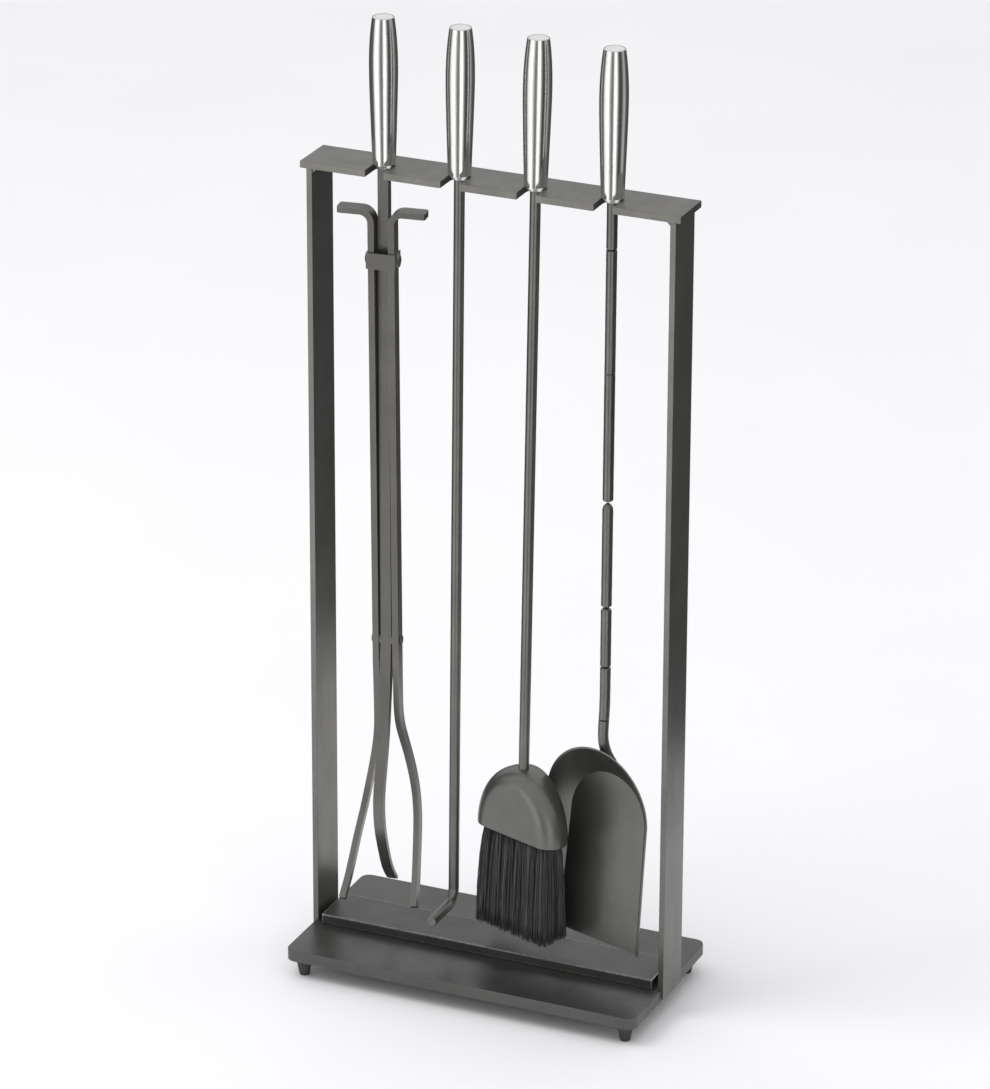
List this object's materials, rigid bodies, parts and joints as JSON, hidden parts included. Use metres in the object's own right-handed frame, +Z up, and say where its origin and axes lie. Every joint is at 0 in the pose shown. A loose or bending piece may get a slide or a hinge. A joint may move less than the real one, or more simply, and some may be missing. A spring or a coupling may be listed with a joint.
{
  "type": "fireplace tool set",
  "caption": "Free-standing flat-bar stand with tongs, poker, brush and shovel hanging by barrel-shaped grips in open notches.",
  "frame": {"origin": "on the floor under the middle of the base plate", "axes": "+Z up, the longest side; -Y is the front, where the notches open; +X to the right seen from the front"},
  "size_m": [0.3168, 0.153, 0.797],
  "materials": {
    "graphite_coat": "fine satin graphite powder coat",
    "brushed_stainless": "brushed along the length, bright flat ends",
    "bristle": "dark synthetic bristle",
    "block": "black moulded block",
    "zinc_steel": "plain zinc plate"
  },
  "bodies": {
    "stand": {"base_plate": "graphite_coat", "cross_bar": "graphite_coat", "cross_bar_screws": "zinc_steel", "foot_back_left": "graphite_coat", "foot_back_right": "graphite_coat", "foot_front_left": "graphite_coat", "foot_front_right": "graphite_coat", "foot_studs": "zinc_steel", "frame_welds": "graphite_coat", "left_upright": "graphite_coat", "right_upright": "graphite_coat", "top_bar": "graphite_coat"},
    "tongs": {"tongs_cap": "brushed_stainless", "tongs_centre_bar": "graphite_coat", "tongs_ferrule": "brushed_stainless", "tongs_handle": "brushed_stainless", "tongs_pivot_pin": "graphite_coat", "tongs_pivot_washers": "graphite_coat"},
    "tong_arms": {"tongs_left_arm": "graphite_coat", "tongs_right_arm": "graphite_coat", "tongs_strap": "graphite_coat", "tongs_strap_rivets": "graphite_coat"},
    "poker": {"poker_cap": "brushed_stainless", "poker_ferrule": "brushed_stainless", "poker_handle": "brushed_stainless", "poker_rod": "graphite_coat"},
    "brush": {"brush_block": "block", "brush_bristles": "bristle", "brush_cap": "brushed_stainless", "brush_ferrule": "brushed_stainless", "brush_handle": "brushed_stainless", "brush_head": "graphite_coat", "brush_rod": "graphite_coat"},
    "shovel": {"shovel_cap": "brushed_stainless", "shovel_ferrule": "brushed_stainless", "shovel_handle": "brushed_stainless", "shovel_pan": "graphite_coat", "shovel_rod": "graphite_coat", "shovel_weld": "graphite_coat"}
  },
  "joints": [
    {"name": "tongs_lift", "type": "slide", "parent": "stand", "child": "tongs", "axis": [0, -0.866, 0.5], "range_m": [0, 0.2]},
    {"name": "poker_lift", "type": "slide", "parent": "stand", "child": "poker", "axis": [0, -0.866, 0.5], "range_m": [0, 0.2]},
    {"name": "brush_lift", "type": "slide", "parent": "stand", "child": "brush", "axis": [0, -0.866, 0.5], "range_m": [0, 0.2]},
    {"name": "shovel_lift", "type": "slide", "parent": "stand", "child": "shovel", "axis": [0, 0, 1], "range_m": [0, 0.2]},
    {"name": "arms_pivot", "type": "hinge", "parent": "tongs", "child": "tong_arms", "pos_m": [-0.09407, -0.0025, 0.2795], "axis": [0.9903, 0.1392, 0.0029], "range_deg": [-0.8, 30]}
  ]
}
